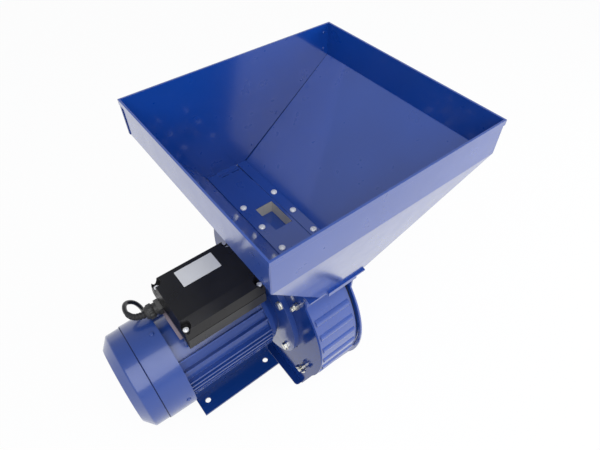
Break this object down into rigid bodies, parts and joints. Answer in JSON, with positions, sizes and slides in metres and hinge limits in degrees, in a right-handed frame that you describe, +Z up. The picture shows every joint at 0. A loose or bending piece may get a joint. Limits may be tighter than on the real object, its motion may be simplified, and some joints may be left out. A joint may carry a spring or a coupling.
{
  "type": "feed_grinder",
  "caption": "Feed grinder: square sheet-metal hopper over a hammer mill with a slide gate and open discharge, driven by a foot-mounted motor with capacitor box and cord.",
  "frame": {"origin": "centre of the four motor foot holes, on the face the feet are bolted down by", "axes": "+X along the motor shaft towards the mill, +Y across the shaft away from the pictured side, +Z up towards the hopper"},
  "size_m": [0.5905, 0.4065, 0.536],
  "materials": {
    "blue_paint": "gloss",
    "bright_steel": "polished",
    "zinc_steel": "satin",
    "plain_steel": "satin",
    "pale_plastic": "matte",
    "black_plastic": "satin",
    "grey_plastic": "satin",
    "dark_rubber": "satin",
    "capacitor_shell": "gloss",
    "copper_wire": "satin"
  },
  "bodies": {
    "machine": {"box_base": "black_plastic", "box_cover": "black_plastic", "box_gasket": "dark_rubber", "box_screws": "bright_steel", "cable_gland": "grey_plastic", "capacitor": "capacitor_shell", "clamp_studs": "zinc_steel", "cord_coil": "dark_rubber", "cowl_screws": "bright_steel", "drum_shell_far": "blue_paint", "drum_shell_near": "blue_paint", "fan_cowl": "blue_paint", "feed_chute": "pale_plastic", "flange_bolts": "zinc_steel", "flange_nuts": "zinc_steel", "floor_nuts": "zinc_steel", "floor_screws": "bright_steel", "foot_bolts": "zinc_steel", "front_bearing": "plain_steel", "front_bell": "blue_paint", "front_cover": "blue_paint", "front_gasket": "dark_rubber", "gland_nut": "grey_plastic", "hopper_far_panel": "blue_paint", "hopper_left_panel": "blue_paint", "hopper_near_panel": "blue_paint", "hopper_right_panel": "blue_paint", "mains_plug": "grey_plastic", "motor_foot_far": "blue_paint", "motor_foot_near": "blue_paint", "motor_housing": "blue_paint", "power_cord": "dark_rubber", "rear_bearing": "plain_steel", "rear_bell": "blue_paint", "rear_plate": "blue_paint", "seam_rivets": "blue_paint", "seat_plate": "blue_paint", "sieve_ring": "plain_steel", "stator_core": "plain_steel", "stator_windings": "copper_wire", "terminal_block": "black_plastic"},
    "rotor": {"motor_shaft": "plain_steel", "rotor_core": "plain_steel", "shaft_key": "plain_steel", "rotor_hub": "plain_steel", "rotor_disc_rear": "plain_steel", "rotor_disc_front": "plain_steel", "hammer_pins": "plain_steel", "hammer_sleeves": "plain_steel", "rotor_bolt": "bright_steel", "cooling_fan": "grey_plastic"},
    "gate": {"slide_gate": "blue_paint"},
    "hammer_arm_1": {"hammer_1": "plain_steel"},
    "hammer_arm_2": {"hammer_2": "plain_steel"},
    "hammer_arm_3": {"hammer_3": "plain_steel"},
    "hammer_arm_4": {"hammer_4": "plain_steel"},
    "wing_1": {"wing_nut_1": "zinc_steel"},
    "wing_2": {"wing_nut_2": "zinc_steel"},
    "wing_3": {"wing_nut_3": "zinc_steel"},
    "wing_4": {"wing_nut_4": "zinc_steel"}
  },
  "joints": [
    {"name": "rotor_spin", "type": "hinge", "parent": "machine", "child": "rotor", "pos_m": [0, 0, 0.09], "axis": [1, 0, 0], "continuous": true},
    {"name": "gate_slide", "type": "slide", "parent": "machine", "child": "gate", "axis": [1, 0, 0], "range_m": [0, 0.038]},
    {"name": "hammer_1_swing", "type": "hinge", "parent": "rotor", "child": "hammer_arm_1", "pos_m": [0.149, 0, 0.162], "axis": [1, 0, 0], "continuous": true},
    {"name": "hammer_2_swing", "type": "hinge", "parent": "rotor", "child": "hammer_arm_2", "pos_m": [0.149, 0.072, 0.09], "axis": [1, 0, 0], "continuous": true},
    {"name": "hammer_3_swing", "type": "hinge", "parent": "rotor", "child": "hammer_arm_3", "pos_m": [0.149, 0, 0.018], "axis": [1, 0, 0], "continuous": true},
    {"name": "hammer_4_swing", "type": "hinge", "parent": "rotor", "child": "hammer_arm_4", "pos_m": [0.149, -0.072, 0.09], "axis": [1, 0, 0], "continuous": true},
    {"name": "wing_nut_1_turn", "type": "hinge", "parent": "machine", "child": "wing_1", "pos_m": [0.105, 0.10862, 0.19489], "axis": [1, 0, 0], "continuous": true},
    {"name": "wing_nut_2_turn", "type": "hinge", "parent": "machine", "child": "wing_2", "pos_m": [0.105, 0.12806, 0.00998], "axis": [1, 0, 0], "continuous": true},
    {"name": "wing_nut_3_turn", "type": "hinge", "parent": "machine", "child": "wing_3", "pos_m": [0.105, -0.10862, 0.19489], "axis": [1, 0, 0], "continuous": true},
    {"name": "wing_nut_4_turn", "type": "hinge", "parent": "machine", "child": "wing_4", "pos_m": [0.105, -0.12806, 0.00998], "axis": [1, 0, 0], "continuous": true}
  ]
}
